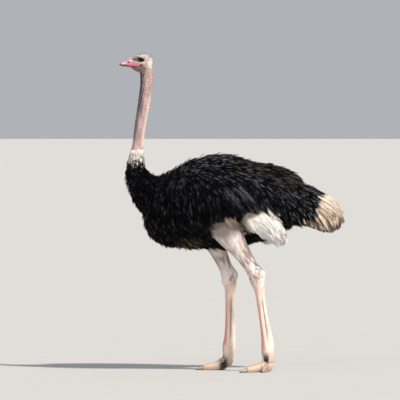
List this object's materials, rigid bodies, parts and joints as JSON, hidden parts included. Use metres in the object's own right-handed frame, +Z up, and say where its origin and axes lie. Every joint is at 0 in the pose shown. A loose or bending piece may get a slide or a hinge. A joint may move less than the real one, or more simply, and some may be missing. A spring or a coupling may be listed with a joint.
{
  "type": "ostrich",
  "caption": "Life-size standing male ostrich: bare neck and legs, black body plumage, white wing and tail plumes, two-toed feet flat on the floor.",
  "frame": {"origin": "on the floor, under the middle of the bird's bounding box", "axes": "+Z up, the bird faces -Y, its left side is +X"},
  "size_m": [0.5738, 1.59, 2.2363],
  "materials": {
    "neck_skin": "matt, pinkish grey-beige skin",
    "leg_skin": "matt, pale pinkish skin, scaly below the hock",
    "black_plumage": "soft, loose black feathers",
    "white_plumage": "soft white plumes",
    "buff_plumage": "soft white to buff plumes with brown edges",
    "bill_horn": "smooth horn, pinkish with a darker tip",
    "claw_horn": "worn grey-brown horn",
    "eye": "wet, dark brown"
  },
  "bodies": {
    "root": {"head": "neck_skin", "upper_bill": "bill_horn", "lower_bill": "bill_horn", "neck_upper": "neck_skin", "neck_lower": "neck_skin", "neck_base": "black_plumage", "trunk": "black_plumage", "tail": "buff_plumage", "left_eye": "eye", "right_eye": "eye", "left_wing": "black_plumage", "right_wing": "black_plumage", "left_wing_plumes": "white_plumage", "right_wing_plumes": "white_plumage", "left_drumstick": "leg_skin", "right_drumstick": "leg_skin", "left_shank": "leg_skin", "right_shank": "leg_skin", "left_main_toe": "leg_skin", "right_main_toe": "leg_skin", "left_outer_toe": "leg_skin", "right_outer_toe": "leg_skin", "left_main_claw": "claw_horn", "right_main_claw": "claw_horn", "left_outer_claw": "claw_horn", "right_outer_claw": "claw_horn"}
  },
  "joints": []
}
